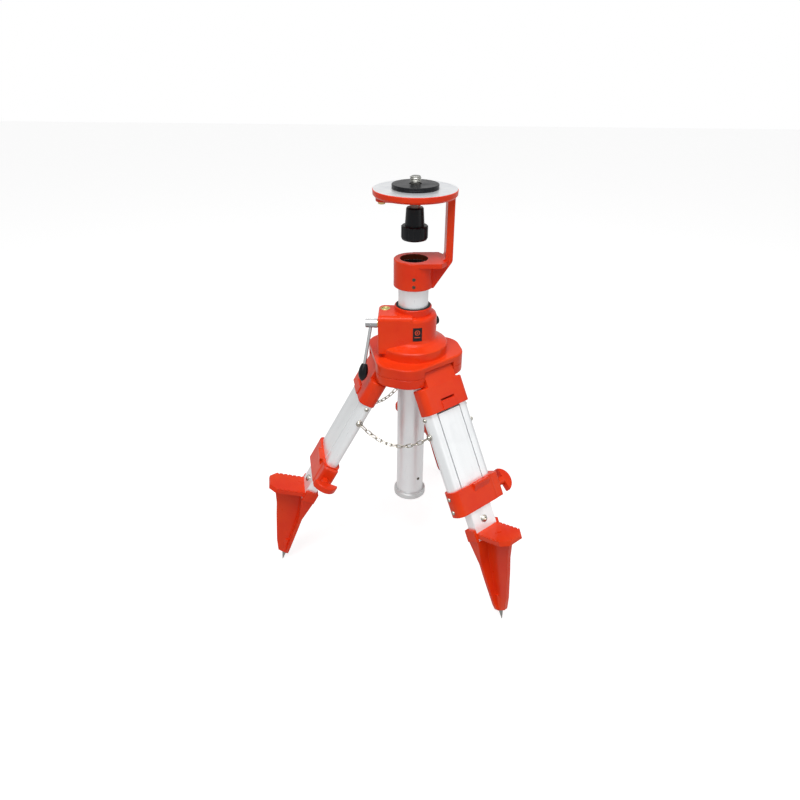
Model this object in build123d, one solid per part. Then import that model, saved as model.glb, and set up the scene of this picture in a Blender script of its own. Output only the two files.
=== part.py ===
from build123d import *
import os
from math import asin, atan, atan2, cos, degrees, hypot, pi, radians, sin, sqrt, tan

# Compact elevating surveyor tripod, millimetres, +Z up.
# Origin: on the ground, under the axis of the elevating column.

# ---------------------------------------------------------------- legs as a whole
FIRST_LEG_AZIMUTH = 191.8
LEG_NAMES = ("leg_left", "leg_right", "leg_back")
LEG_SPLAY = 29.4          # legs from vertical
FACE_R = 59.6             # radius of the rails' datum plane at FACE_Z
FACE_Z = 375.0
HINGE_R = 51.0
HINGE_Z = 381.0
PIN_R = 4.0
PIN_HALF = 46.0
RUN = 0.05                # radial clearance of a turning fit

# ---------------------------------------------------------------- column and head
TUBE_R = 22.5
TUBE_WALL = 2.5
TUBE_BOTTOM = 126.0
COLLAR_R = 29.6
COLLAR_Z = (501.0, 542.0)
COLLAR_SEAT_Z = 534.0
SIGHT_R = 20.5
PLATFORM_R = 59.5
PLATFORM_Z = (630.8, 640.4)
PAD_R = 32.9
PAD_Z = (640.4, 646.7)
STUD_R = 15.875 / 2       # 5/8 inch instrument thread
STUD_TOP = 657.0
POST_AZIMUTH = 4.0
POST_X = (44.5, 55.0)
POST_HALF = 13.0

# ---------------------------------------------------------------- gear housing
PLATE_WAIST = 62.5        # flats of the hub plate over the legs
PLATE_LOBE = 77.0         # flats between the legs
PLATE_Z = (366.0, 381.0, 398.0)
FLANGE_R = 53.3
FLANGE_TOP = 413.3
BODY_R = 36.0
BODY_TOP = 460.0
NECK_R = 28.0
NECK_TOP = 471.0
BUSH_R = 26.2
BUSH_LENGTH = 10.5
BORE_R = 24.0
BLOCK_X = -51.6
BLOCK_Y = (-36.0, 16.0)
BLOCK_Z = (405.0, 464.0)
VIAL_AT = (-41.6, 0.0)
VIAL_R = 7.6
POCKET_HALF = 29.8
POCKET_R = 41.6

# ---------------------------------------------------------------- lifting gear
PINION_MODULE = 1.5
PINION_TEETH = 10
PITCH_R = PINION_MODULE * PINION_TEETH / 2
PRESSURE = 25.0
BACKLASH = 0.30
PINION_HALF = 3.6
RACK_PITCH_X = -21.0
RACK_Z = (206.0, 490.0)
GEAR_X = RACK_PITCH_X - PITCH_R
GEAR_Z = 451.0
CRANK_Y = -27.0
MITRE_TEETH = 12
MITRE_R = 6.0
MITRE_FACE = 3.2
SHAFT_R = 3.0

# ---------------------------------------------------------------- crank
CRANK_HUB_R = 6.8
CRANK_PIVOT_X = -61.5
CRANK_TIP_X = -70.0
CRANK_TURN = 18.5         # arm from straight down, towards -Y
CRANK_LEAN = 8.9          # arm outwards from the plane across the shaft
ARM_LENGTH = 61.5
GRIP_LENGTH = 26.5
GRIP_R = 7.0

# ---------------------------------------------------------------- column lock
LOCK_AZIMUTH = 50.0
LOCK_Z = 430.0

# ---------------------------------------------------------------- one leg, in its own frame
# local X runs down the leg, local Y is tangential, local Z points outwards
CAP_HALF = 43.2
CAP_A = (11.0, 51.5)
CAP_C = (-21.5, 5.5)
KNUCKLE_R = 8.6
KNUCKLE_HALF = 28.8
RAIL_HALF = 42.0
RAIL_INNER = 23.6
RAIL_A = (24.0, 190.0)
RAIL_C = (-20.0, -0.8)
RAIL_WALL = 1.8
INNER_HALF = 22.3
INNER_C = (-17.4, -0.2)
INNER_WALL = 1.8
FOOT_PLUG_A = 228.0
INNER_A = (54.5, 262.0)
CLAMP_A = (174.0, 214.0)
CLAMP_HALF = 44.5
CLAMP_C = (-24.5, 4.5)
KNOB_A = 196.0
KNOB_C = -7.0
FOOT_HALF = 27.0
PEDAL_HALF = 23.5
FOOT_SCREW_A = 233.0
SOCKET_A = (243.0, 262.0)
TIP = (410.5, -35.4)
SPIKE_ROOT = (384.0, -28.0)
SCREW_C = -10.4
SCREW_R = 1.9
CAP_SCREW_A = 57.6
LUG_A = 83.8
CLAMP_SCREW_A = (184.0, 205.0)
KNOB_TURNS = {"leg_left": 90.0, "leg_right": 22.0, "leg_back": 60.0}

# ---------------------------------------------------------------- chains
WIRE_R = 0.85
LINK_HALF_WIDTH = 2.6     # centre line of the wire
RING_R = 4.75
CHAIN_SAG = 25.0
CHAIN_LINKS = 13

DOWN = (Align.CENTER, Align.CENTER, Align.MAX)
UP = (Align.CENTER, Align.CENTER, Align.MIN)


# ================================================================ small helpers
def turned(*points):
    """Solid of revolution about Z from an (r, z) outline."""
    return revolve(Plane.XZ * make_face(Polyline(*points, close=True)), Axis.Z)


def ring(outer, inner, low, high):
    return Pos(0, 0, low) * (Cylinder(outer, high - low, align=UP) - Cylinder(inner, high - low, align=UP))


def block(x, y, z):
    """Box between two limits on each axis."""
    size = (x[1] - x[0], y[1] - y[0], z[1] - z[0])
    return Pos((x[0] + x[1]) / 2, (y[0] + y[1]) / 2, (z[0] + z[1]) / 2) * Box(*size)


def rod(start, end, radius):
    """Round bar from one point to another."""
    start = Vector(*start)
    end = Vector(*end)
    along = end - start
    return Plane(origin=start, z_dir=along) * Cylinder(radius, along.length, align=UP)


def cone_rod(start, end, radius, end_radius):
    start = Vector(*start)
    end = Vector(*end)
    along = end - start
    return Plane(origin=start, z_dir=along) * Cone(radius, end_radius, along.length, align=UP)


def polar(radius, azimuth, z=0.0):
    return (radius * cos(radians(azimuth)), radius * sin(radians(azimuth)), z)


def side_profile(points, half):
    """Prism across the leg: an (a, c) outline, as wide as 2 x half."""
    face = Plane.XZ * make_face(Polyline(*points, close=True))
    return extrude(face, half, both=True)


def run_profile(face, start, end):
    """Prism along the leg from a face drawn in (b, c)."""
    return Pos(start, 0, 0) * extrude(Plane.YZ * face, end - start)


def bar_face(half, low, high, corner):
    """Rectangle in (b, c) with rounded corners."""
    face = Pos(0, (low + high) / 2) * Rectangle(2 * half, high - low)
    return fillet(face.vertices(), corner)


def group(name, pieces):
    part = Compound(children=list(pieces))
    part.label = name
    return part


def leg_azimuth(index):
    return FIRST_LEG_AZIMUTH + 120 * index


def leg_plane(index):
    """Frame of one leg: X down the leg, Y tangential, Z outwards."""
    azimuth = leg_azimuth(index)
    splay = radians(LEG_SPLAY)
    out = Vector(*polar(1, azimuth))
    along = out * sin(splay) - Vector(0, 0, 1) * cos(splay)
    normal = out * cos(splay) + Vector(0, 0, 1) * sin(splay)
    origin = out * FACE_R + Vector(0, 0, FACE_Z)
    return Plane(origin=origin, x_dir=along, z_dir=normal)


def hinge_in_leg():
    """Hinge axis in the leg frame, as (a, c)."""
    splay = radians(LEG_SPLAY)
    dr = HINGE_R - FACE_R
    dz = HINGE_Z - FACE_Z
    return dr * sin(splay) - dz * cos(splay), dr * cos(splay) + dz * sin(splay)


# ================================================================ gear teeth
def involute_angle(radius, base):
    """Polar angle of an involute at a radius, from where it leaves the base circle."""
    if radius <= base:
        return 0.0
    t = sqrt((radius / base) ** 2 - 1)
    return t - atan(t)


def spur_tooth(pitch, base, root, tip, thickness):
    """Outline of one involute tooth centred on +X."""
    half_at_pitch = thickness / (2 * pitch)
    def half_angle(radius):
        return half_at_pitch + involute_angle(pitch, base) - involute_angle(radius, base)
    start = max(base, root)
    levels = [start + (tip - start) * k / 4 for k in range(5)]
    flank = [(r * cos(half_angle(r)), r * sin(half_angle(r))) for r in levels]
    foot = (0.8 * root * cos(half_angle(start)), 0.8 * root * sin(half_angle(start)))
    lower = [(x, -y) for x, y in [foot] + flank]
    return make_face(Polyline(*([foot] + flank + lower[::-1]), close=True))


def pinion_gear():
    """Pinion with its first tooth on +X, axis on Z, centred on the origin."""
    base = PITCH_R * cos(radians(PRESSURE))
    root = PITCH_R - 1.0 * PINION_MODULE
    tip = PITCH_R + 0.8 * PINION_MODULE
    thickness = pi * PINION_MODULE / 2 - BACKLASH
    tooth = extrude(spur_tooth(PITCH_R, base, root, tip, thickness), PINION_HALF, both=True)
    gear = Cylinder(root, 2 * PINION_HALF)
    for k in range(PINION_TEETH):
        gear += Rot(0, 0, 360 * k / PINION_TEETH) * tooth
    return gear


def rack_bar():
    """Toothed bar let into the side of the column tube; a gap faces the pinion's tooth."""
    pitch = pi * PINION_MODULE
    tip_x = RACK_PITCH_X - 0.8 * PINION_MODULE
    root_x = RACK_PITCH_X + 1.05 * PINION_MODULE
    half_tip = (pitch / 2 - BACKLASH) / 2 - 0.8 * PINION_MODULE * tan(radians(PRESSURE))
    half_root = (pitch / 2 - BACKLASH) / 2 + 1.05 * PINION_MODULE * tan(radians(PRESSURE))
    low, high = RACK_Z
    first = GEAR_Z + pitch / 2 - pitch * int((GEAR_Z - low) / pitch)
    count = int((high - first) / pitch)
    points = [(root_x + 2.4, low), (root_x, low)]
    for k in range(count):
        z = first + pitch * k
        points += [(root_x, z - half_root), (tip_x, z - half_tip), (tip_x, z + half_tip), (root_x, z + half_root)]
    points += [(root_x, high), (root_x + 2.4, high)]
    return extrude(Plane.XZ * make_face(Polyline(*points, close=True)), PINION_HALF + 0.3, both=True)


def mitre_gear(phase):
    """45 degree bevel gear about Z, its apex at the origin and its teeth facing -Z towards it."""
    root = MITRE_R - 0.75
    tip = MITRE_R + 0.45
    inner = 1 - MITRE_FACE / (MITRE_R * sqrt(2))
    cone = turned((0, MITRE_R * inner), (root * inner, MITRE_R * inner), (root, MITRE_R),
                  (root, MITRE_R + 2.2), (0, MITRE_R + 2.2))
    step = 2 * pi / MITRE_TEETH
    half_low = 0.29 * step
    half_high = 0.15 * step
    gear = cone
    for k in range(MITRE_TEETH):
        turn = degrees(step * (k + phase))
        sections = []
        for scale in (inner, 1.0):
            low = root * 0.92 * scale
            high = tip * scale
            face = make_face(Polyline((low * cos(half_low), -low * sin(half_low)),
                                      (high * cos(half_high), -high * sin(half_high)),
                                      (high * cos(half_high), high * sin(half_high)),
                                      (low * cos(half_low), low * sin(half_low)), close=True))
            sections.append(Pos(0, 0, MITRE_R * scale) * face)
        gear += Rot(0, 0, turn) * loft(sections)
    return gear


# ================================================================ gear housing and hub
def hub_outline():
    """Truncated triangle with rounded corners, flats over the legs and between them."""
    half_waist = (PLATE_LOBE - PLATE_WAIST * cos(pi / 3)) / sin(pi / 3)
    corner_r = hypot(PLATE_WAIST, half_waist)
    spread = degrees(atan2(half_waist, PLATE_WAIST))
    corners = []
    for index in range(3):
        corners.append(polar(corner_r, leg_azimuth(index) - spread)[:2])
        corners.append(polar(corner_r, leg_azimuth(index) + spread)[:2])
    face = make_face(Polyline(*corners, close=True))
    return fillet(face.vertices(), 32.0)


def leg_pockets(low, high):
    """Room for the three leg knuckles."""
    cut = block((POCKET_R, 100), (-POCKET_HALF, POCKET_HALF), (low, high))
    return [Rot(0, 0, leg_azimuth(i)) * cut for i in range(3)]


def pin_bars(radius):
    """Three hinge pins, or the seats cut for them."""
    pins = []
    for i in range(3):
        bar = rod((HINGE_R, -PIN_HALF, HINGE_Z), (HINGE_R, PIN_HALF, HINGE_Z), radius)
        pins.append(Rot(0, 0, leg_azimuth(i)) * bar)
    return pins


def lobe_points(radius):
    return [polar(radius, leg_azimuth(i) + 60) for i in range(3)]


def housing_shell():
    """Outer casting: plate, domed flange, round body, neck and the gear block on its side."""
    plate = Pos(0, 0, PLATE_Z[1]) * extrude(hub_outline(), PLATE_Z[2] - PLATE_Z[1])
    plate = fillet(plate.edges().group_by(Axis.Z)[-1], 2.5)
    plate = chamfer(plate.edges().group_by(Axis.Z)[0], 0.7)
    body = turned((0, PLATE_Z[2] - 1), (FLANGE_R, PLATE_Z[2] - 1), (FLANGE_R, FLANGE_TOP - 1.5),
                  (FLANGE_R - 1.5, FLANGE_TOP), (BODY_R + 5, FLANGE_TOP + 5), (BODY_R + 1, FLANGE_TOP + 8),
                  (BODY_R, FLANGE_TOP + 12), (BODY_R, BODY_TOP - 5), (BODY_R - 1.5, BODY_TOP - 1.5),
                  (BODY_R - 5, BODY_TOP), (NECK_R, BODY_TOP), (NECK_R, NECK_TOP - 1),
                  (NECK_R - 1, NECK_TOP), (0, NECK_TOP))
    gear_block = block((BLOCK_X, 0), BLOCK_Y, BLOCK_Z)
    upright = gear_block.edges().filter_by(Axis.Z).group_by(Axis.X)[0].sort_by(Axis.Y)
    gear_block = fillet(upright[0], 3.5)
    upright = gear_block.edges().filter_by(Axis.Z).group_by(Axis.X)[0].sort_by(Axis.Y)
    gear_block = fillet(upright[-1], 9.0)
    gear_block = fillet(gear_block.faces().sort_by(Axis.Z)[-1].edges(), 3.0)
    front, top = BLOCK_Y[0] + 7, BLOCK_Z[1] - 7
    corner = block((BLOCK_X - 1, 0), (front - 8, front), (top, top + 8))
    corner -= rod((BLOCK_X - 2, front, top), (1, front, top), 7.0)
    return plate + body + (gear_block - corner)


def gear_cavity():
    """Rooms for the pinion and for the pair of mitre gears, open to the column bore."""
    pinion_room = rod((GEAR_X, -4.7, GEAR_Z), (GEAR_X, 4.7, GEAR_Z), PITCH_R + 2.0)
    wheel_room = rod((GEAR_X, CRANK_Y - 6.2, GEAR_Z), (GEAR_X, -13.4, GEAR_Z), 7.4)
    crank_room = rod((GEAR_X - 10.6, CRANK_Y, GEAR_Z), (GEAR_X + 4.0, CRANK_Y, GEAR_Z), 7.1)
    return [pinion_room, wheel_room, crank_room]


def gear_housing():
    part = housing_shell()
    part -= Cylinder(BORE_R, NECK_TOP + 10, align=UP)
    part -= Pos(0, 0, NECK_TOP - BUSH_LENGTH) * Cylinder(BUSH_R, 30, align=UP)
    for cut in leg_pockets(PLATE_Z[1] - 1, HINGE_Z + KNUCKLE_R + 0.6) + pin_bars(PIN_R) + gear_cavity():
        part -= cut
    part -= rod((GEAR_X, -21, GEAR_Z), (GEAR_X, 14.0, GEAR_Z), SHAFT_R + RUN)
    part -= rod((GEAR_X, 6.5, GEAR_Z), (GEAR_X, 30, GEAR_Z), 5.5)
    part -= rod((-44.0, CRANK_Y, GEAR_Z), (-70, CRANK_Y, GEAR_Z), 6.2)
    part -= rod((-30.0, CRANK_Y, GEAR_Z), (-50, CRANK_Y, GEAR_Z), 4.4)
    part -= Pos(VIAL_AT[0], VIAL_AT[1], BLOCK_Z[1] - 6) * Cylinder(VIAL_R, 20, align=UP)
    part -= rod(polar(15, LOCK_AZIMUTH, LOCK_Z), polar(60, LOCK_AZIMUTH, LOCK_Z), 3.05)
    for point in lobe_points(67.0):
        part -= Pos(point[0], point[1], 375) * Cylinder(2.5, 20, align=UP)
    return part


def lower_plate():
    """Clamp plate under the hub: it holds the pins and the lower column bush."""
    low, high = PLATE_Z[0], PLATE_Z[1]
    part = Pos(0, 0, low) * extrude(hub_outline(), high - low)
    part = fillet(part.edges().group_by(Axis.Z)[0], 2.0)
    part = chamfer(part.edges().group_by(Axis.Z)[-1], 0.7)
    part -= Cylinder(BORE_R, high + 10, align=UP)
    part -= Cylinder(BUSH_R, low + BUSH_LENGTH, align=UP)
    for cut in leg_pockets(low - 5, high + 5) + pin_bars(PIN_R):
        part -= cut
    for point in lobe_points(67.0):
        part -= Pos(point[0], point[1], low - 1) * Cylinder(2.5, 40, align=UP)
        part -= Pos(point[0], point[1], low - 1) * Cylinder(5.0, 7, align=UP)
    return part


def lobe_screws():
    screws = []
    for point in lobe_points(67.0):
        head = Pos(0, 0, PLATE_Z[0] + 1) * Cylinder(4.5, 5, align=UP)
        head -= Pos(0, 0, PLATE_Z[0]) * extrude(RegularPolygon(2.3, 6), 3.5)
        shank = Pos(0, 0, PLATE_Z[0] + 6) * Cylinder(2.5, 21, align=UP)
        screws.append(Pos(point[0], point[1], 0) * (head + shank))
    return screws


def column_bushes():
    upper = ring(BUSH_R, TUBE_R + 0.06, NECK_TOP - BUSH_LENGTH, NECK_TOP + 0.5)
    lower = ring(BUSH_R, TUBE_R + 0.06, PLATE_Z[0], PLATE_Z[0] + BUSH_LENGTH)
    return [upper, lower]


def shaft_bushes():
    back = rod((GEAR_X, 6.5, GEAR_Z), (GEAR_X, BLOCK_Y[1] + 0.8, GEAR_Z), 5.5)
    back -= rod((GEAR_X, 5, GEAR_Z), (GEAR_X, 14.1, GEAR_Z), SHAFT_R + RUN)
    side = rod((BLOCK_X - 0.8, CRANK_Y, GEAR_Z), (-44.0, CRANK_Y, GEAR_Z), 6.2)
    side -= rod((BLOCK_X - 5, CRANK_Y, GEAR_Z), (-40, CRANK_Y, GEAR_Z), 4.0 + RUN)
    return [back, side]


def level_vial():
    floor = BLOCK_Z[1] - 6
    return Pos(VIAL_AT[0], VIAL_AT[1], floor) * Cylinder(VIAL_R, 6.6, align=UP)


def label_plate():
    shell = ring(BODY_R + 0.4, BODY_R, 426.5, 447.5)
    wedge = make_face(Polyline((0, 0), polar(60, 270.8)[:2], polar(60, 292.5)[:2], close=True))
    return shell & (Pos(0, 0, 400) * extrude(wedge, 60))


# ================================================================ lifting gear and crank
def crank_frame():
    """Arm direction and pivot pin direction at rest."""
    turn = radians(CRANK_TURN)
    lean = radians(CRANK_LEAN)
    across = Vector(0, -sin(turn), -cos(turn))
    arm = across * cos(lean) - Vector(1, 0, 0) * sin(lean)
    pin = Vector(1, 0, 0).cross(across)
    return arm, pin


def crank_pivot():
    return Vector(CRANK_PIVOT_X, CRANK_Y, GEAR_Z)


def crank_shaft():
    """Shaft with a forked head that takes the folding arm."""
    arm, pin = crank_frame()
    shaft = rod((GEAR_X - MITRE_R - 2.2, CRANK_Y, GEAR_Z), (BLOCK_X - 1.0, CRANK_Y, GEAR_Z), 4.0)
    head = rod((BLOCK_X - 1.0, CRANK_Y, GEAR_Z), (CRANK_TIP_X, CRANK_Y, GEAR_Z), CRANK_HUB_R)
    head = chamfer(head.edges().group_by(Axis.X)[0], 0.8)
    slot = Plane(origin=crank_pivot(), x_dir=Vector(-1, 0, 0), z_dir=pin) * (
        Pos(6, 0, 0) * Box(21.4, 20, 5.4))
    part = shaft + (head - slot)
    return part - rod(crank_pivot() - pin * 10, crank_pivot() + pin * 10, 1.5)


def crank_arm():
    arm, pin = crank_frame()
    pivot = crank_pivot()
    eye = Plane(origin=pivot, z_dir=pin) * Cylinder(4.3, 5.0)
    bar = rod(pivot + arm * 2.5, pivot + arm * ARM_LENGTH, 2.4)
    spindle = rod(pivot + arm * ARM_LENGTH, pivot + arm * (ARM_LENGTH + GRIP_LENGTH - 4), 1.5)
    return eye + bar + spindle - rod(pivot - pin * 10, pivot + pin * 10, 1.5 + RUN)


def crank_pin():
    arm, pin = crank_frame()
    pivot = crank_pivot()
    return rod(pivot - pin * 6.4, pivot + pin * 6.4, 1.5)


def crank_grip():
    """Egg-shaped grip that turns on the arm's spindle."""
    arm, pin = crank_frame()
    start = crank_pivot() + arm * (ARM_LENGTH + 0.2)
    outline = [(1.55, 0), (4.2, 0), (5.8, 3.0), (GRIP_R, 10.0), (GRIP_R - 0.4, 15.5), (5.2, 21.5),
               (3.0, 25.2), (0, GRIP_LENGTH), (0, GRIP_LENGTH - 3.6), (1.55, GRIP_LENGTH - 3.6)]
    curve = Spline(outline[1], outline[3], outline[5], outline[7])
    face = make_face([Polyline(outline[7], outline[8], outline[9], outline[0], outline[1]), curve])
    return Plane(origin=start, z_dir=arm) * revolve(Plane.XZ * face, Axis.Z)


def mitre_keyway(part):
    return part - Cylinder(SHAFT_R, 40)


def crank_bevel():
    gear = mitre_keyway(mitre_gear(0.0))
    return Plane(origin=(GEAR_X, CRANK_Y, GEAR_Z), x_dir=(0, 0, 1), z_dir=(-1, 0, 0)) * gear


def pinion_bevel():
    gear = mitre_keyway(mitre_gear(0.5))
    return Plane(origin=(GEAR_X, CRANK_Y, GEAR_Z), x_dir=(0, 0, 1), z_dir=(0, 1, 0)) * gear


def crank_stub():
    """Reduced end of the crank shaft that carries its mitre gear."""
    return rod((GEAR_X - MITRE_R - 2.2, CRANK_Y, GEAR_Z), (GEAR_X - 4.0, CRANK_Y, GEAR_Z), SHAFT_R)


def pinion_shaft():
    gear = Plane(origin=(GEAR_X, 0, GEAR_Z), x_dir=(1, 0, 0), z_dir=(0, -1, 0)) * pinion_gear()
    return gear + rod((GEAR_X, CRANK_Y + 4.0, GEAR_Z), (GEAR_X, 13.6, GEAR_Z), SHAFT_R)


# ================================================================ column
def column_tube():
    part = ring(TUBE_R, TUBE_R - TUBE_WALL, TUBE_BOTTOM, COLLAR_SEAT_Z)
    slot_half = PINION_HALF + 0.3
    part -= block((-30, -10), (-slot_half, slot_half), RACK_Z)
    return part - rod(polar(15, 308.8, 162.0), polar(30, 308.8, 162.0), 2.5)


def column_end_ring():
    """Plastic end piece: a collar round the tube's end with a sleeve inside it."""
    inner = TUBE_R - TUBE_WALL
    collar = turned((17.0, 123.5), (25.7, 123.5), (26.7, 124.5), (26.7, 132.6), (25.7, 133.6),
                    (TUBE_R, 133.6), (TUBE_R, TUBE_BOTTOM), (inner, TUBE_BOTTOM), (inner, 168), (17.0, 168))
    return collar


def grub(radius, azimuth, z, depth):
    start = polar(TUBE_R - depth, azimuth, z)
    end = polar(radius, azimuth, z)
    socket = rod(polar(radius - 1.6, azimuth, z), polar(radius + 1, azimuth, z), 1.1)
    return rod(start, end, 2.5) - socket


def grub_screws():
    """Two screws that hold the head on the tube, one that holds the end piece."""
    return [grub(COLLAR_R + 0.2, 270.8, 519.3, 0), grub(COLLAR_R + 0.2, 270.8, 508.1, 0),
            grub(TUBE_R + 0.3, 308.8, 162.0, 4.0)]


def arm():
    """Flat arm from the collar to the post, narrowing to the post's width."""
    top = COLLAR_Z[1]
    outline = make_face(Polyline((0, -COLLAR_R), (38, -COLLAR_R), (48, -POST_HALF), (48, POST_HALF),
                                 (38, COLLAR_R), (0, COLLAR_R), close=True))
    return Pos(0, 0, top - 6.5) * extrude(outline, 6.5)


def post():
    """Upright of the head in one piece with the rib that runs down to the collar."""
    top = COLLAR_Z[1]
    inner, outer = POST_X
    face = make_face(Polyline((20, COLLAR_Z[0]), (COLLAR_R - 0.6, COLLAR_Z[0]), (outer, top - 2),
                              (outer, PLATFORM_Z[0] + 2), (inner, PLATFORM_Z[0] + 2), (inner, top),
                              (20, top), close=True))
    face = fillet(face.vertices().sort_by_distance((outer, top - 2))[0], 10.0)
    face = fillet(face.vertices().sort_by_distance((inner, top))[0], 6.0)
    upright = extrude(Plane.XZ * face, POST_HALF, both=True)
    long_edges = upright.edges().filter_by(Axis.Z).group_by(Edge.length)[-1]
    return fillet(long_edges, 2.0)


def head_bracket():
    """C-shaped casting: clamp collar, arm, post and the round instrument platform."""
    low, high = COLLAR_Z
    collar = turned((0, low), (COLLAR_R - 1, low), (COLLAR_R, low + 1), (COLLAR_R, high - 1),
                    (COLLAR_R - 1, high), (0, high))
    bottom, top = PLATFORM_Z
    platform = turned((0, bottom), (PLATFORM_R - 2.5, bottom), (PLATFORM_R - 0.4, bottom + 2.5),
                      (PLATFORM_R, top - 0.8), (PLATFORM_R - 0.8, top), (0, top))
    part = collar + Rot(0, 0, POST_AZIMUTH) * (arm() + post()) + platform
    part -= Cylinder(SIGHT_R, high + 5, align=UP)
    part -= Cylinder(TUBE_R, COLLAR_SEAT_Z, align=UP)
    part -= Pos(0, 0, bottom - 1) * Cylinder(STUD_R + 0.8, 30, align=UP)
    part -= Pos(0, 0, bottom - 1) * Cylinder(12.2, 4.8, align=UP)
    for z in (519.3, 508.1):
        part -= rod(polar(15, 270.8, z), polar(50, 270.8, z), 2.5)
    part -= rod((-46.5, 0, 620), (-46.5, 0, bottom + 6), 2.5)
    return part


def platform_pad():
    low, high = PAD_Z
    pad = turned((STUD_R + 0.9, low), (PAD_R, low), (PAD_R, low + 2.4), (PAD_R - 0.5, low + 2.8),
                 (PAD_R - 0.5, low + 3.2), (PAD_R, low + 3.6), (PAD_R, high - 0.6), (PAD_R - 0.6, high),
                 (STUD_R + 0.9, high))
    return pad


def screw_strap():
    """Strap under the platform that keeps the instrument screw captive."""
    outline = make_hull([Pos(-46.5, 0) * Edge.make_circle(8.5), Edge.make_circle(18.0),
                         Pos(21.0, 0) * Edge.make_circle(13.5)])
    strap = Pos(0, 0, 622.0) * extrude(make_face(outline), PLATFORM_Z[0] - 622.0)
    strap = fillet(strap.edges().group_by(Axis.Z)[0], 2.0)
    strap -= Pos(0, 0, 600) * Cylinder(STUD_R + 0.08, 60, align=UP)
    strap -= Pos(-46.5, 0, 600) * Cylinder(2.5, 60, align=UP)
    return strap


def strap_pivot_screw():
    head = Pos(-46.5, 0, 622) * Cylinder(5.2, 3.4, align=DOWN)
    head = fillet(head.edges().group_by(Axis.Z)[0], 1.4)
    head -= Pos(-46.5, 0, 617.6) * Box(12, 1.2, 2.4)
    return head + Pos(-46.5, 0, 622) * Cylinder(2.5, PLATFORM_Z[0] + 5 - 622, align=UP)


def centring_screw():
    """5/8 inch instrument screw with a captive flange under the platform."""
    neck = STUD_R - 1.0
    return turned((0, 600), (neck, 600), (neck, 615.1), (STUD_R, 615.1), (STUD_R, 631.0), (11.6, 631.0),
                  (11.6, 633.6), (STUD_R, 633.6), (STUD_R, 644.5), (neck, 645.5), (neck, 648.2),
                  (STUD_R, 649.2), (STUD_R, STUD_TOP - 1.2), (STUD_R - 1.2, STUD_TOP), (0, STUD_TOP))


def centring_knob():
    """Tapered knob with a scalloped grip."""
    neck = STUD_R - 1.0
    cone = turned((0, 587), (14.1, 587), (12.4, 613.5), (11.3, 615.0), (0, 615.0))
    grip = turned((0, 569.0), (14.5, 569.0), (17.8, 570.2), (19.2, 573.0), (19.2, 588.6), (17.6, 590.0), (0, 590.0))
    for k in range(12):
        grip -= Rot(0, 0, 30 * k) * (Pos(21.4, 0, 560) * Cylinder(3.1, 40, align=UP))
    return cone + grip - Pos(0, 0, 600) * Cylinder(neck, 30, align=UP)


# ================================================================ column lock
def lock_screw():
    return rod(polar(TUBE_R + 0.15, LOCK_AZIMUTH, LOCK_Z), polar(50, LOCK_AZIMUTH, LOCK_Z), 3.0)


def lock_knob():
    frame = Plane(origin=polar(42.0, LOCK_AZIMUTH, LOCK_Z), z_dir=polar(1, LOCK_AZIMUTH))
    body = turned((0, 0), (6.0, 0), (6.0, 3.0), (8.5, 4.0), (8.5, 13.0), (7.5, 14.0), (0, 14.0))
    for k in range(8):
        body -= Rot(0, 0, 45 * k) * (Pos(9.6, 0, 3.5) * Cylinder(1.9, 20, align=UP))
    return frame * body - lock_screw()


# ================================================================ one leg, in its own frame
def cap():
    """Hinge casting: knuckle, shoulders, slot and the raised tab below it."""
    a0, c0 = hinge_in_leg()
    knuckle = rod((a0, -KNUCKLE_HALF, c0), (a0, KNUCKLE_HALF, c0), KNUCKLE_R)
    tongue = side_profile([(a0, c0 - KNUCKLE_R), (a0, c0 + KNUCKLE_R), (14, CAP_C[1]), (20, CAP_C[1]),
                           (20, c0 - KNUCKLE_R)], KNUCKLE_HALF)
    shell = run_profile(bar_face(CAP_HALF, CAP_C[0], CAP_C[1], 10.0), CAP_A[0], CAP_A[1])
    shell = fillet(shell.edges().group_by(Axis.X)[0], 2.0)
    tab = side_profile([(37.5, 4), (38.3, 7.0), (CAP_A[1], 7.0), (CAP_A[1], 4)], 13.5)
    part = knuckle + tongue + shell + tab
    part -= rod((a0, -40, c0), (a0, 40, c0), PIN_R + RUN)
    for side in (-1, 1):
        part -= run_profile(rail_outline(side), RAIL_A[0], 80)
    part -= block((41.0, 80), (-RAIL_INNER, RAIL_INNER), (-30, 2.0))
    part -= block((34.4, 37.2), (-13.5, 13.5), (-6, 20))
    part -= block((20, 60), (-18, 18), (-30, -14))
    for side in (-1, 1):
        spigot = run_profile(rail_hollow(side), RAIL_A[0], CAP_SCREW_A + 7)
        part += spigot
        part -= rod((CAP_SCREW_A, 20 * side, SCREW_C), (CAP_SCREW_A, 60 * side, SCREW_C), SCREW_R)
    return part


def rail_outline(side):
    """D-shaped section of one rail, in (b, c)."""
    low, high = RAIL_C
    face = Pos(side * (RAIL_INNER + RAIL_HALF) / 2, (low + high) / 2) * Rectangle(RAIL_HALF - RAIL_INNER, high - low)
    outer = face.vertices().sort_by(Axis.X)[-2:] if side > 0 else face.vertices().sort_by(Axis.X)[:2]
    return fillet(outer, (high - low) / 2 - 0.05)


def rail_hollow(side):
    low, high = RAIL_C[0] + RAIL_WALL, RAIL_C[1] - RAIL_WALL
    inner, outer = RAIL_INNER + RAIL_WALL, RAIL_HALF - RAIL_WALL
    face = Pos(side * (inner + outer) / 2, (low + high) / 2) * Rectangle(outer - inner, high - low)
    corners = face.vertices().sort_by(Axis.X)[-2:] if side > 0 else face.vertices().sort_by(Axis.X)[:2]
    return fillet(corners, (high - low) / 2 - 0.05)


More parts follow.
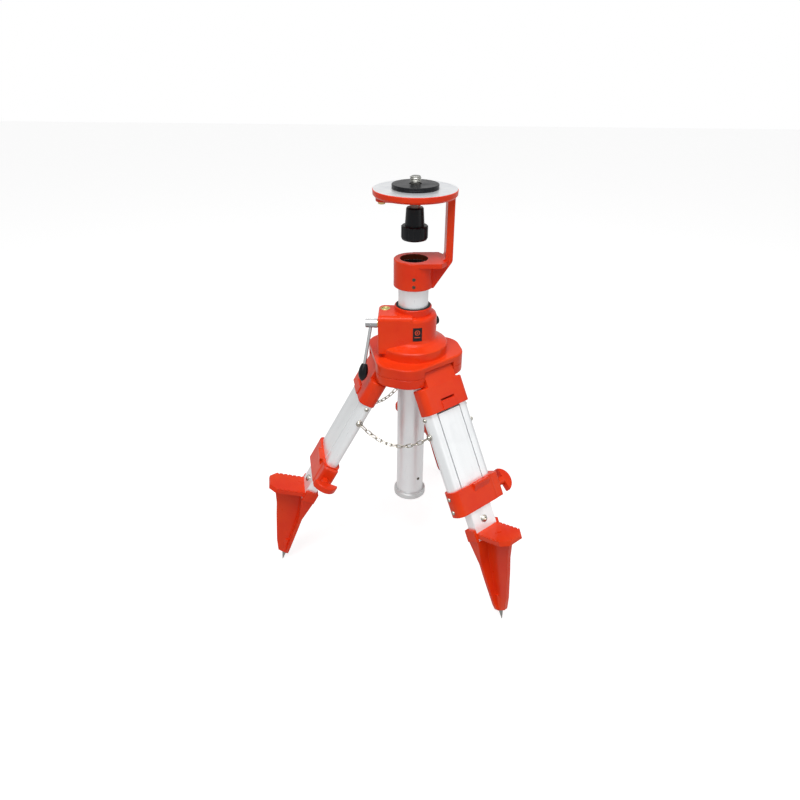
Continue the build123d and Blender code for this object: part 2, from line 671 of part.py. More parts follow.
def rail(side):
    """One hollow rail with the rib that guides the inner leg."""
    start, end = RAIL_A
    part = run_profile(rail_outline(side), start, end) - run_profile(rail_hollow(side), start, end)
    low, high = sorted((side * (INNER_HALF + 0.1), side * (RAIL_INNER + 0.5)))
    part += block((CAP_A[1] + 3, end), (low, high), (-13.0, -8.0))
    for a in (CAP_SCREW_A, LUG_A, CLAMP_SCREW_A[0]):
        part -= rod((a, 20 * side, SCREW_C), (a, 60 * side, SCREW_C), SCREW_R)
    return part


def pan_screw(a, side, seat, length):
    """Pan head screw in the side of the leg; its head sits on the plane b = seat."""
    head = turned((0, 0), (3.3, 0), (3.3, 1.2), (2.4, 2.4), (1.0, 2.9), (0, 2.9))
    head -= Pos(0, 0, 1.6) * extrude(RegularPolygon(1.5, 6), 3)
    screw = head + Cylinder(SCREW_R, length, align=DOWN)
    frame = Plane(origin=(a, side * seat, SCREW_C), x_dir=(1, 0, 0), z_dir=(0, side, 0))
    return frame * screw


def fixings():
    """Cap screws, chain lug screws and the clamp's two screws."""
    screws = []
    for side in (-1, 1):
        screws.append(pan_screw(CAP_SCREW_A, side, RAIL_HALF, 12))
        screws.append(pan_screw(LUG_A, side, RAIL_HALF + 2.6, 9))
    for a in CLAMP_SCREW_A:
        screws.append(pan_screw(a, -1, CLAMP_HALF, 12))
    return screws


def clamp():
    """Clamp casting on the rails' ends, with the ear and slit that its knob closes."""
    start, end = CLAMP_A
    part = run_profile(bar_face(CLAMP_HALF, CLAMP_C[0], CLAMP_C[1], 12.0), start, end)
    ear = block((start + 1, end), (25, 52), (-21, 3.5))
    ear = fillet(ear.edges().filter_by(Axis.X).group_by(Axis.Y)[-1], 5.0)
    part += ear
    boss = side_profile([(start, 3), (start, 10.0), (start + 3, 10.0), (start + 15, 3)], 16.0)
    part += Pos(0, 11, 0) * boss
    for side in (-1, 1):
        part -= run_profile(rail_outline(side), start - 5, RAIL_A[1])
    gap = INNER_HALF + 0.08
    part -= block((start - 5, RAIL_A[1]), (-RAIL_INNER, RAIL_INNER), (INNER_C[0] - 0.08, INNER_C[1] + 0.08))
    part -= block((start - 5, end + 5), (-gap, gap), (INNER_C[0] - 0.08, INNER_C[1] + 0.08))
    part -= block((start - 5, end + 5), (43.0, 44.8), (-30, -1.5))
    part -= rod((KNOB_A, INNER_HALF - 1, KNOB_C), (KNOB_A, 60, KNOB_C), 3.0 + RUN)
    part -= rod((start + 3.5, 18, 6.8), (start + 3.5, 40, 6.8), 1.5)
    for a in CLAMP_SCREW_A:
        part -= rod((a, -20, SCREW_C), (a, -60, SCREW_C), SCREW_R)
    return part


def clamp_knob(turn):
    """Half-moon wing on a stem and screw; the wing's chord turns about the screw."""
    seat = 52.4
    chord = 64.5
    segment = (Pos(0, -4.5) * Circle(20.0)) & (Pos(0, 15) * Rectangle(60, 30))
    disc = Plane(origin=(0, 0, chord), x_dir=(1, 0, 0), z_dir=(0, -1, 0)) * extrude(segment, 5.5, both=True)
    disc = fillet(disc.edges().filter_by(GeomType.CIRCLE), 2.2)
    stem = Pos(0, 0, seat) * Cone(6.2, 7.0, chord - seat + 1, align=UP)
    screw = Pos(0, 0, INNER_HALF + 0.3) * Cylinder(3.0, seat - INNER_HALF + 2, align=UP)
    frame = Plane(origin=(KNOB_A, 0, KNOB_C), x_dir=(cos(radians(turn)), 0, sin(radians(turn))), z_dir=(0, 1, 0))
    return frame * (disc + stem + screw)


def inner_leg():
    """Rectangular tube, closed at the top, that slides between the rails."""
    start, end = INNER_A
    low, high = INNER_C
    part = block((start, end), (-INNER_HALF, INNER_HALF), INNER_C)
    part = fillet(part.edges().filter_by(Axis.X), 1.0)
    part -= block((start + 2, end + 1), (INNER_WALL - INNER_HALF, INNER_HALF - INNER_WALL),
                  (low + INNER_WALL, high - INNER_WALL))
    part -= block((start - 5, start + 5), (-8, 8), (low + 4.5, high - 4.5))
    return part - rod((FOOT_SCREW_A, 0, -8), (FOOT_SCREW_A, 0, 10), 2.2)


def foot_screw():
    head = turned((0, 0), (5.5, 0), (5.5, 1.6), (4.0, 3.2), (1.2, 3.9), (0, 3.9))
    head -= Pos(0, 0, 2.2) * extrude(RegularPolygon(2.0, 6), 4)
    return Pos(FOOT_SCREW_A, 0, INNER_C[1]) * (head + Cylinder(2.2, 9, align=DOWN))


def heel_plate():
    """Sloping plate behind the web, narrowing to the spike."""
    low, high = INNER_C
    profile = [(250, -21.5), (303, -20.5), (391, -36.0), (393.5, -31.0), (303, -15.5), (262, high), (250, high)]
    taper = Polyline((240, -FOOT_HALF), (262, -25.5), (330, -17.5), (380, -10.5), (389, -8.0), (395, -3.5),
                     (395, 3.5), (389, 8.0), (380, 10.5), (330, 17.5), (262, 25.5), (240, FOOT_HALF), close=True)
    return side_profile(profile, FOOT_HALF) & (Pos(0, 0, -60) * extrude(make_face(taper), 100))


def pedal():
    """Plate across the leg for the user's boot, nicked along both edges."""
    plate = side_profile([(248, -3), (260.8, 58), (268.3, 55.5), (256, -3)], PEDAL_HALF)
    outline = Polyline((-PEDAL_HALF, -10), (-PEDAL_HALF, 45), (-12, 57), (12, 57), (PEDAL_HALF, 45),
                       (PEDAL_HALF, -10), close=True)
    plate = plate & (Pos(230, 0, 0) * extrude(Plane.YZ * make_face(outline), 60))
    rise = degrees(atan2(12, 57))
    for k in range(6):
        c = 4.0 + 7.5 * k
        a = 248 + 12 * (c + 3) / 57
        for side in (-1, 1):
            plate -= Pos(a, side * PEDAL_HALF, c) * Rot(0, rise, 0) * Box(2.4, 4.0, 2.6)
    return plate


def foot():
    """Cast foot: socket on the leg's end, web, sloping heel plate and a pedal plate."""
    low, high = INNER_C
    web = [(250, -19), (303, -18), (388, -33), (393, -28), (391, -18), (371, -6.0), (324, 16.5), (298, 28),
           (277, 40), (268, 46), (258, 30), (254, -3)]
    part = block(SOCKET_A, (-FOOT_HALF, FOOT_HALF), (-21.5, high)) + heel_plate() + side_profile(web, 3.5)
    part += pedal()
    part += cone_rod((364, 0, -22.6), (391.5, 0, -30.1), 5.6, 5.0)
    part -= block((200, INNER_A[1]), (-INNER_HALF, INNER_HALF), INNER_C)
    part += block((FOOT_PLUG_A, INNER_A[1] + 1), (INNER_WALL - INNER_HALF, INNER_HALF - INNER_WALL),
                  (low + INNER_WALL, high - INNER_WALL))
    part -= rod((FOOT_SCREW_A, 0, -12), (FOOT_SCREW_A, 0, 10), 2.2)
    return part - spike()


def spike():
    root = Vector(SPIKE_ROOT[0], 0, SPIKE_ROOT[1])
    tip = Vector(TIP[0], 0, TIP[1])
    along = tip - root
    middle = root + along * 0.45
    return rod(root - along * 0.6, middle, 3.2) + cone_rod(middle, tip, 3.2, 0.4)


# ================================================================ chains
def link(length):
    """Oval link of round wire in the plane XY; length is between its ends' wire centres."""
    r = LINK_HALF_WIDTH
    half = length / 2 - r
    path = Wire([Edge.make_line((-half, -r, 0), (half, -r, 0)),
                 Edge.make_circle(r, Plane(origin=(half, 0, 0)), start_angle=-90, end_angle=90),
                 Edge.make_line((half, r, 0), (-half, r, 0)),
                 Edge.make_circle(r, Plane(origin=(-half, 0, 0)), start_angle=90, end_angle=270)])
    return sweep(Plane(origin=(-half, -r, 0), z_dir=(1, 0, 0)) * Circle(WIRE_R), path=path)


def lug(index, side):
    """Middle of the bare shank of a leg's chain lug screw."""
    return leg_plane(index).from_local_coords(Vector(LUG_A, side * (RAIL_HALF + 1.3), SCREW_C))


def chain(index):
    """Chain from one leg to the next, hanging in a parabola, with a ring on each lug."""
    following = (index + 1) % 3
    start, end = lug(index, 1), lug(following, -1)
    rings = []
    joints = []
    for point, other, leg_index in ((start, end, index), (end, start, following)):
        axis = leg_plane(leg_index).y_dir
        to = other - point - Vector(0, 0, 4 * CHAIN_SAG)
        to = (to - axis * to.dot(axis)).normalized()
        centre = point + to * (RING_R - WIRE_R - SCREW_R - 0.25)
        rings.append(Plane(origin=centre, x_dir=to, z_dir=axis) * Torus(RING_R, WIRE_R))
        joints.append(centre + to * (RING_R - WIRE_R - 0.15))
    first, last = joints
    def hang(t):
        return first + (last - first) * t - Vector(0, 0, 4 * CHAIN_SAG * t * (1 - t))
    marks = [hang(k / CHAIN_LINKS) for k in range(CHAIN_LINKS + 1)]
    across = (last - first).cross(Vector(0, 0, 1)).normalized()
    links = []
    for k in range(CHAIN_LINKS):
        along = marks[k + 1] - marks[k]
        centre = (marks[k] + marks[k + 1]) / 2
        flat = Plane(origin=centre, x_dir=along, z_dir=across)
        turn = 0 if k % 2 else 90
        links.append(flat * (Rot(turn, 0, 0) * link(along.length + 2 * WIRE_R + 0.3)))
    return rings + links


# ================================================================ output
def build():
    parts = {
        "gear_housing": gear_housing(),
        "lower_plate": lower_plate(),
        "lobe_screws": group("lobe_screws", lobe_screws()),
        "hinge_pins": group("hinge_pins", pin_bars(PIN_R)),
        "column_bushes": group("column_bushes", column_bushes()),
        "shaft_bushes": group("shaft_bushes", shaft_bushes()),
        "level_vial": level_vial(),
        "label_plate": label_plate(),
        "crank_shaft": crank_shaft() + crank_stub(),
        "crank_bevel": crank_bevel(),
        "crank_arm": crank_arm(),
        "crank_pin": crank_pin(),
        "crank_grip": crank_grip(),
        "pinion_shaft": pinion_shaft(),
        "pinion_bevel": pinion_bevel(),
        "column_tube": column_tube(),
        "gear_rack": rack_bar(),
        "column_end_ring": column_end_ring() - grub(TUBE_R + 0.3, 308.8, 162.0, 4.0),
        "grub_screws": group("grub_screws", grub_screws()),
        "head_bracket": head_bracket(),
        "platform_pad": platform_pad(),
        "screw_strap": screw_strap(),
        "strap_pivot_screw": strap_pivot_screw(),
        "centring_screw": centring_screw(),
        "centring_knob": centring_knob(),
        "lock_screw": lock_screw(),
        "lock_knob": lock_knob(),
    }
    for index, name in enumerate(LEG_NAMES):
        frame = leg_plane(index)
        local = {
            "cap": cap(),
            "rail_cw": rail(-1),
            "rail_ccw": rail(1),
            "clamp": clamp(),
            "clamp_knob": clamp_knob(KNOB_TURNS[name]),
            "inner": inner_leg(),
            "foot": foot(),
            "foot_screw": foot_screw(),
            "spike": spike(),
        }
        for piece, solid in local.items():
            parts[name + "_" + piece] = frame * solid
        parts[name + "_fixings"] = group(name + "_fixings", [frame * screw for screw in fixings()])
        parts["chain_" + name[4:]] = group("chain_" + name[4:], chain(index))
    return parts


os.makedirs("parts", exist_ok=True)
for node, solid in build().items():
    export_step(solid, "parts/" + node + ".step")
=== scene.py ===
import bpy
import bmesh
import math
import random
from mathutils import Matrix, Vector

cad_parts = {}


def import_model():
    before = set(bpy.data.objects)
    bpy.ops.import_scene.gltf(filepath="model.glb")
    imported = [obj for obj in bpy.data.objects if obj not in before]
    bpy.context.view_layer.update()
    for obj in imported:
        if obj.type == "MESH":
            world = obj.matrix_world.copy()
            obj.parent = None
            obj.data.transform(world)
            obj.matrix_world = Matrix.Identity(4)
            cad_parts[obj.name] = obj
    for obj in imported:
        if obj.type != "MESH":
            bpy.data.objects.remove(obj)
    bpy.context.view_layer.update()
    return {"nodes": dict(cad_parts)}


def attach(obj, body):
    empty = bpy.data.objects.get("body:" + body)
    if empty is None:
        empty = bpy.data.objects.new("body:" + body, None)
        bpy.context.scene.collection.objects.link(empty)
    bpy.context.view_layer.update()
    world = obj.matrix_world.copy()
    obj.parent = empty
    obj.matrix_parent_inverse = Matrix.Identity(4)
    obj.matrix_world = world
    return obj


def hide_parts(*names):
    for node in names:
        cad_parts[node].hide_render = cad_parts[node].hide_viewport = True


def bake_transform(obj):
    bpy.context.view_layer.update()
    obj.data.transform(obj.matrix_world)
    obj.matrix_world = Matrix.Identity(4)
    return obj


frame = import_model()
NODES = frame["nodes"]
random.seed(7)

# ---------------------------------------------------------------- sizes shared with the CAD, metres
LEGS = {"left": 191.8, "right": 311.8, "back": 71.8}
SPLAY = 29.4
FACE_R = 0.0596
FACE_Z = 0.375
RAIL_HALF = 0.042
LUG_A = 0.0838
LUG_C = -0.0104
WIRE_R = 0.00085
LINK_HALF_WIDTH = 0.0026
RING_R = 0.00475
SHANK_R = 0.0019
CHAIN_SAG = 0.025
CHAIN_LINKS = 13
STUD_R = 0.0079375
THREAD_PITCH = 0.0254 / 11
SCREW_BASE, SCREW_TOP = 0.600, 0.6570
LOW_THREAD_START, LOW_THREAD_END = 0.6130, 0.6235
LOW_THREAD_FADE = 0.6151
HIGH_NECK_START, HIGH_THREAD_START, HIGH_THREAD_FADE = 0.640, 0.6440, 0.6488
TIP_CHAMFER_START = 0.6556
PLATFORM_TOP = 0.6402
COLLAR_BORE_R, COLLAR_BORE_TOP = 0.0215, 0.5418
TUBE_BORE_R = 0.0203
# how far down the leg face the inner leg's top end is coloured with painted shade
INNER_SHADE_DEPTH = 0.0549
VIAL = Vector((-0.0416, 0.0, 0.458))
VIAL_R = 0.0076
LABEL_X, SYMBOL_Z, BAR_Z = 0.0072, 0.4400, 0.4325

# ---------------------------------------------------------------- paint, light and camera values
ORANGE = (0.80, 0.030, 0.006, 1.0)
ORANGE_LIGHT = (0.88, 0.060, 0.008, 1.0)
ORANGE_DEEP = (0.62, 0.016, 0.004, 1.0)
ENAMEL_COAT, ENAMEL_COAT_ROUGH, ENAMEL_SPECULAR = 0.14, 0.10, 0.12
WORLD_LIGHT = 0.28
MIRROR_LIGHT = 0.75
FLOOR_GLOW = 0.75
FLOOR_HALF = 6.0
CAMERA_PLACE = (0, -0.927, 0.83197)
CAMERA_TURN = (-1.445, 29.465, 0.405)
CAMERA_LENS = 29.542
CAMERA_SHIFT = (0.0039, -0.0017)


# ---------------------------------------------------------------- material building
class Graph:
    """Short hand for building one node material."""

    def __init__(self, name):
        self.material = bpy.data.materials.new(name)
        self.material.use_nodes = True
        self.tree = self.material.node_tree
        self.shader = self.tree.nodes["Principled BSDF"]
        self.output = self.tree.nodes["Material Output"]
        self.place = self.node("ShaderNodeTexCoord").outputs["Object"]

    def node(self, kind, **settings):
        made = self.tree.nodes.new(kind)
        for key, value in settings.items():
            setattr(made, key, value)
        return made

    def feed(self, socket, value):
        if isinstance(value, bpy.types.NodeSocket):
            self.tree.links.new(value, socket)
        else:
            socket.default_value = value

    def set(self, **values):
        for key, value in values.items():
            self.feed(self.shader.inputs[key.replace("_", " ")], value)

    def math(self, operation, a, b=0.0, clamp=False):
        made = self.node("ShaderNodeMath", operation=operation, use_clamp=clamp)
        self.feed(made.inputs[0], a)
        self.feed(made.inputs[1], b)
        return made.outputs[0]

    def vector(self, operation, a, b):
        made = self.node("ShaderNodeVectorMath", operation=operation)
        self.feed(made.inputs[0], a)
        self.feed(made.inputs[1], b)
        return made.outputs["Value"] if operation == "DOT_PRODUCT" else made.outputs["Vector"]

    def noise(self, scale, detail=3.0, rough=0.55, at=None):
        made = self.node("ShaderNodeTexNoise")
        self.feed(made.inputs["Vector"], at or self.place)
        made.inputs["Scale"].default_value = scale
        made.inputs["Detail"].default_value = detail
        made.inputs["Roughness"].default_value = rough
        return made.outputs["Fac"]

    def ramp(self, value, low, high, start=0.0, end=1.0):
        made = self.node("ShaderNodeMapRange")
        self.feed(made.inputs["Value"], value)
        for key, number in (("From Min", low), ("From Max", high), ("To Min", start), ("To Max", end)):
            made.inputs[key].default_value = number
        return made.outputs["Result"]

    def mix(self, amount, a, b):
        made = self.node("ShaderNodeMix", data_type="RGBA")
        self.feed(made.inputs["Factor"], amount)
        self.feed(made.inputs[6], a)
        self.feed(made.inputs[7], b)
        return made.outputs[2]

    def mix_value(self, amount, a, b):
        made = self.node("ShaderNodeMix", data_type="FLOAT")
        self.feed(made.inputs[0], amount)
        self.feed(made.inputs[2], a)
        self.feed(made.inputs[3], b)
        return made.outputs[0]

    def bump(self, height, strength, distance, round_edge=0.0):
        made = self.node("ShaderNodeBump")
        made.inputs["Strength"].default_value = strength
        made.inputs["Distance"].default_value = distance
        self.feed(made.inputs["Height"], height)
        if round_edge:
            edge = self.node("ShaderNodeBevel", samples=6)
            edge.inputs["Radius"].default_value = round_edge
            self.feed(made.inputs["Normal"], edge.outputs["Normal"])
        self.feed(self.shader.inputs["Normal"], made.outputs["Normal"])

    def split(self, vector):
        made = self.node("ShaderNodeSeparateXYZ")
        self.feed(made.inputs[0], vector)
        return made.outputs

    def length(self, x, y):
        squares = self.math("ADD", self.math("MULTIPLY", x, x), self.math("MULTIPLY", y, y))
        return self.math("SQRT", squares)

    def near(self, value, at, half):
        """1 where value is within half of at."""
        return self.math("LESS_THAN", self.math("ABSOLUTE", self.math("SUBTRACT", value, at)), half)

    def edge_mask(self, radius, low, high):
        """1 on sharp edges, 0 on flats."""
        edge = self.node("ShaderNodeBevel", samples=6)
        edge.inputs["Radius"].default_value = radius
        true = self.node("ShaderNodeNewGeometry").outputs["True Normal"]
        facing = self.vector("DOT_PRODUCT", edge.outputs["Normal"], true)
        return self.ramp(facing, high, low)

    def along(self, direction, stretch):
        """Coordinates squeezed along a direction, so that noise turns into long grain."""
        direction = Vector(direction).normalized()
        side = direction.orthogonal().normalized()
        other = direction.cross(side)
        made = self.node("ShaderNodeCombineXYZ")
        down_grain = self.vector("DOT_PRODUCT", self.place, direction)
        self.feed(made.inputs[0], self.math("MULTIPLY", down_grain, stretch))
        self.feed(made.inputs[1], self.vector("DOT_PRODUCT", self.place, side))
        self.feed(made.inputs[2], self.vector("DOT_PRODUCT", self.place, other))
        return made.outputs[0]


def rgb(r, g, b):
    return (r, g, b, 1.0)


def paint_graph(name):
    """Enamel colour with soft clouds, worn edges and small specks."""
    g = Graph(name)
    tone = g.noise(14.0, 4.0)
    color = g.mix(g.ramp(tone, 0.3, 0.7), ORANGE, ORANGE_LIGHT)
    cloud = g.noise(55.0, 5.0, 0.65)
    color = g.mix(g.ramp(cloud, 0.62, 0.85, 0.0, 0.35), color, ORANGE_DEEP)
    patches = g.ramp(g.noise(160.0, 6.0, 0.7), 0.52, 0.66)
    scuff = g.math("MULTIPLY", g.edge_mask(0.0007, 0.90, 0.985), patches, True)
    color = g.mix(g.math("MULTIPLY", scuff, 0.30), color, rgb(0.92, 0.30, 0.12))
    speck = g.ramp(g.noise(420.0, 2.0), 0.74, 0.80, 0.0, 0.35)
    color = g.mix(speck, color, rgb(0.35, 0.03, 0.015))
    rough = g.ramp(g.noise(40.0, 3.0), 0.3, 0.7, 0.26, 0.38)
    g.set(Coat_Roughness=ENAMEL_COAT_ROUGH, Specular_IOR_Level=ENAMEL_SPECULAR)
    return g, color, rough, g.noise(520.0, 2.0, 0.4)


def casting_paint():
    g, color, rough, peel = paint_graph("orange_casting")
    grain = g.noise(1500.0, 3.0, 0.6)
    height = g.math("ADD", g.math("MULTIPLY", peel, 0.7), g.math("MULTIPLY", grain, 0.3))
    g.set(Base_Color=color, Roughness=rough, Coat_Weight=ENAMEL_COAT)
    g.bump(height, 0.16, 0.0006, 0.0009)
    return g.material


def head_paint():
    """Same enamel, with the platform's top turned bare and painted shade colouring the inside of the
    tube's bore near black.
    """
    g, color, rough, peel = paint_graph("head_casting")
    x, y, z = g.split(g.place)
    facing_up = g.split(g.node("ShaderNodeNewGeometry").outputs["True Normal"])[2]
    bare = g.math("MULTIPLY", g.math("GREATER_THAN", z, PLATFORM_TOP),
                  g.math("GREATER_THAN", facing_up, 0.9), True)
    radius = g.length(x, y)
    rings = g.ramp(g.math("SINE", g.math("MULTIPLY", radius, 9000.0)), -1, 1, 0.3, 0.7)
    cloud = g.ramp(g.noise(90.0, 4.0), 0.3, 0.7)
    turned = g.mix(cloud, rgb(0.80, 0.82, 0.85), rgb(0.92, 0.93, 0.94))
    # painted shade: inside the collar bore the enamel is coloured near black, standing in for the shade
    # in the hole
    painted_bore_shade = g.math("MULTIPLY", g.math("LESS_THAN", radius, COLLAR_BORE_R),
                  g.math("LESS_THAN", z, COLLAR_BORE_TOP), True)
    color = g.mix(painted_bore_shade, color, rgb(0.14, 0.030, 0.012))
    g.set(Base_Color=g.mix(bare, color, turned), Metallic=g.math("MULTIPLY", bare, 0.6))
    g.set(Roughness=g.mix_value(bare, rough, 0.30), Coat_Weight=g.mix_value(bare, ENAMEL_COAT, 0.0))
    g.bump(g.mix_value(bare, peel, rings), 0.16, 0.0006, 0.0007)
    return g.material


def aluminium(name, direction, tint=(0.90, 0.92, 0.93), rough=0.32, shaded_end=None, bore=None):
    """Satin tube with long grain. Given an end, painted shade colours the tube near black above it; given
    a bore radius, painted shade colours its inside near black.
    """
    g = Graph(name)
    grain = g.noise(900.0, 4.0, 0.7, g.along(direction, 0.02))
    broad = g.noise(60.0, 3.0, 0.5, g.along(direction, 0.05))
    color = g.mix(g.ramp(broad, 0.3, 0.7), rgb(*[0.93 * c for c in tint]), rgb(*tint))
    smudge = g.ramp(g.noise(22.0, 5.0, 0.6), 0.55, 0.8, 0.0, 0.25)
    color = g.mix(smudge, color, rgb(0.62, 0.64, 0.67))
    across = g.along((direction[1], direction[2], direction[0]), 0.03)
    scratch = g.ramp(g.noise(320.0, 2.0, 0.5, across), 0.76, 0.80)
    color = g.mix(g.math("MULTIPLY", scratch, 0.3), color, rgb(0.95, 0.96, 0.97))
    shine = 0.45
    # painted shade: the masked part is coloured near black and loses its metal shine
    painted_shade = None
    if shaded_end is not None:
        painted_shade = g.math("LESS_THAN", g.vector("DOT_PRODUCT", g.place, Vector(direction)), shaded_end)
    elif bore is not None:
        x, y, _ = g.split(g.place)
        painted_shade = g.math("LESS_THAN", g.length(x, y), bore)
    if painted_shade is not None:
        color = g.mix(painted_shade, color, rgb(0.02, 0.02, 0.02))
        shine = g.mix_value(painted_shade, shine, 0.0)
    g.set(Base_Color=color, Metallic=shine, Anisotropic=0.3)
    satin = g.ramp(grain, 0.3, 0.7, rough - 0.05, rough + 0.08)
    g.set(Roughness=g.math("ADD", satin, g.math("MULTIPLY", smudge, 0.4)))
    g.bump(g.math("ADD", grain, g.math("MULTIPLY", scratch, 0.5)), 0.06, 0.0003, 0.0005)
    return g.material


def metal(name, tint, rough, wear=0.2, shade=0.35):
    """Bright metal; shade sets how far a painted reflection of the floor below and the sides darkens the
    base colour.
    """
    g = Graph(name)
    cloud = g.noise(260.0, 4.0, 0.6)
    color = g.mix(g.ramp(cloud, 0.45, 0.8, 0.0, wear), rgb(*tint), rgb(*[0.45 * c for c in tint]))
    # painted reflection: the base colour goes darker where the reflected ray points down or sideways
    mirrored_height = g.split(g.node("ShaderNodeTexCoord").outputs["Reflection"])[2]
    painted_ground_reflection = g.ramp(mirrored_height, -0.35, 0.85, 1.0, 0.0)
    color = g.mix(g.math("MULTIPLY", painted_ground_reflection, 1.0 - shade, True), color, rgb(*[0.10 * c for c in tint]))
    g.set(Base_Color=color, Metallic=0.95, Roughness=g.ramp(cloud, 0.3, 0.7, rough, rough + 0.12))
    g.bump(g.noise(1800.0, 3.0, 0.6), 0.05, 0.0002, 0.0003)
    return g.material


def plastic(name, tint, rough, grain=0.2):
    g = Graph(name)
    dust = g.ramp(g.noise(38.0, 6.0, 0.7), 0.5, 0.9, 0.0, 0.20)
    patches = g.ramp(g.noise(120.0, 4.0, 0.7), 0.45, 0.65)
    rub = g.math("MULTIPLY", g.edge_mask(0.0006, 0.90, 0.985), patches, True)
    color = g.mix(dust, rgb(*tint), rgb(*[c + 0.02 for c in tint]))
    color = g.mix(g.math("MULTIPLY", rub, 0.5), color, rgb(*[c + 0.07 for c in tint]))
    sheen = g.ramp(g.noise(70.0, 3.0), 0.3, 0.7, rough, rough + 0.1)
    g.set(Base_Color=color, Roughness=g.math("ADD", sheen, dust), Specular_IOR_Level=0.20)
    g.bump(g.noise(2400.0, 2.0, 0.5), grain, 0.0002, 0.0006)
    return g.material


def glass(name, tint):
    g = Graph(name)
    haze = g.noise(300.0, 3.0)
    g.set(Base_Color=rgb(*tint), Transmission_Weight=0.85, IOR=1.47)
    g.set(Roughness=g.ramp(haze, 0.3, 0.7, 0.03, 0.08), Coat_Weight=0.4)
    return g.material


def vial_body():
    """Bright liquid seen through the vial, with painted shade making it duller towards the rim, and a
    printed centre circle.
    """
    g = Graph("vial_liquid")
    x, y, _ = g.split(g.vector("SUBTRACT", g.place, tuple(VIAL)))
    radius = g.length(x, y)
    ringed = g.near(radius, 0.0036, 0.00022)
    # painted shade: the liquid goes from bright yellow in the middle to a duller green towards the rim
    color = g.mix(g.ramp(radius, 0.0, VIAL_R), rgb(0.86, 0.90, 0.18), rgb(0.55, 0.62, 0.06))
    color = g.mix(g.ramp(g.noise(400.0, 2.0), 0.3, 0.7, 0.0, 0.15), color, rgb(0.95, 0.95, 0.4))
    g.set(Base_Color=g.mix(ringed, color, rgb(0.03, 0.04, 0.02)), Roughness=0.12, Coat_Weight=1.0)
    g.set(Coat_Roughness=0.02, Transmission_Weight=0.15)
    return g.material


def label_print():
    """Black plate with a plain level symbol: a ringed dot above a bar."""
    g = Graph("label_print")
    x, _, z = g.split(g.place)
    bar = g.math("MULTIPLY", g.near(z, BAR_Z, 0.0006), g.near(x, LABEL_X, 0.0042))
    radius = g.length(g.math("SUBTRACT", x, LABEL_X), g.math("SUBTRACT", z, SYMBOL_Z))
    circle = g.near(radius, 0.0034, 0.0005)
    dot = g.math("LESS_THAN", radius, 0.0012)
    mark = g.math("MAXIMUM", bar, g.math("MAXIMUM", circle, dot))
    base = g.mix(g.ramp(g.noise(200.0, 4.0), 0.4, 0.8), rgb(0.012, 0.012, 0.013), rgb(0.03, 0.03, 0.032))
    g.set(Base_Color=g.mix(mark, base, rgb(0.85, 0.10, 0.04)), Roughness=0.4, Specular_IOR_Level=0.15)
    g.bump(g.noise(900.0, 2.0), 0.08, 0.0002, 0.0002)
    return g.material


def leg_axes(azimuth):
    """Top point of a leg's front face, and its directions: down the leg, across it, out of it."""
    phi = math.radians(azimuth)
    s = math.radians(SPLAY)
    out = Vector((math.cos(phi), math.sin(phi), 0))
    tangent = Vector((-math.sin(phi), math.cos(phi), 0))
    down = out * math.sin(s) - Vector((0, 0, 1)) * math.cos(s)
    normal = out * math.cos(s) + Vector((0, 0, 1)) * math.sin(s)
    return out * FACE_R + Vector((0, 0, FACE_Z)), down, tangent, normal


MATERIALS = {
    "casting": casting_paint(),
    "head": head_paint(),
    "tube": aluminium("tube_aluminium", (0, 0, 1), bore=TUBE_BORE_R),
    "ring": aluminium("ring_aluminium", (1, 0, 0), (0.70, 0.72, 0.72), 0.36),
    "black": plastic("black_plastic", (0.004, 0.005, 0.007), 0.26),
    "bush": plastic("bush_plastic", (0.010, 0.010, 0.010), 0.5),
    "chrome": metal("bright_steel", (0.92, 0.93, 0.94), 0.08, 0.12, 0.25),
    "steel": metal("plain_steel", (0.56, 0.56, 0.52), 0.24, 0.4, 0.35),
    "nickel": metal("screw_nickel", (0.80, 0.77, 0.68), 0.18, 0.3, 0.35),
    "grub": metal("grub_steel", (0.20, 0.17, 0.12), 0.30, 0.3, 0.45),
    "brass": metal("brass", (0.90, 0.68, 0.30), 0.18, 0.35, 0.6),
    "vial": vial_body(),
    "clear": glass("clear_cover", (0.93, 0.97, 0.75)),
    "label": label_print(),
}
for leg, azimuth in LEGS.items():
    top, down, _, _ = leg_axes(azimuth)
    # painted shade: the inner leg's top end, seen in the gap under the hinge cap, is coloured near black
    shaded_end_at = top.dot(down) + INNER_SHADE_DEPTH
    MATERIALS["leg_" + leg] = aluminium("leg_aluminium_" + leg, down)
    MATERIALS["inner_" + leg] = aluminium("inner_aluminium_" + leg, down, shaded_end=shaded_end_at)


NODE_MATERIALS = {
    "head_bracket": "head", "column_tube": "tube", "column_end_ring": "ring", "column_bushes": "bush",
    "platform_pad": "black", "centring_knob": "black", "lock_knob": "black", "crank_grip": "black",
    "crank_shaft": "chrome", "crank_arm": "chrome", "crank_pin": "chrome", "shaft_bushes": "brass",
    "strap_pivot_screw": "brass", "crank_bevel": "steel", "pinion_bevel": "steel",
    "lock_screw": "steel", "centring_screw": "steel", "hinge_pins": "steel", "lobe_screws": "steel",
    "gear_rack": "steel", "pinion_shaft": "steel", "grub_screws": "grub", "level_vial": "vial",
    "label_plate": "label",
}


def material_of(node):
    if node.endswith("_inner"):
        return "inner_" + node.split("_")[1]
    if node.endswith(("_rail_cw", "_rail_ccw")):
        return "leg_" + node.split("_")[1]
    if node.endswith(("_fixings", "_foot_screw")):
        return "nickel"
    if node.endswith("_spike") or node.startswith("chain_"):
        return "steel"
    return NODE_MATERIALS.get(node, "casting")


for name, node in NODES.items():
    node.data.materials.clear()
    node.data.materials.append(MATERIALS[material_of(name)])


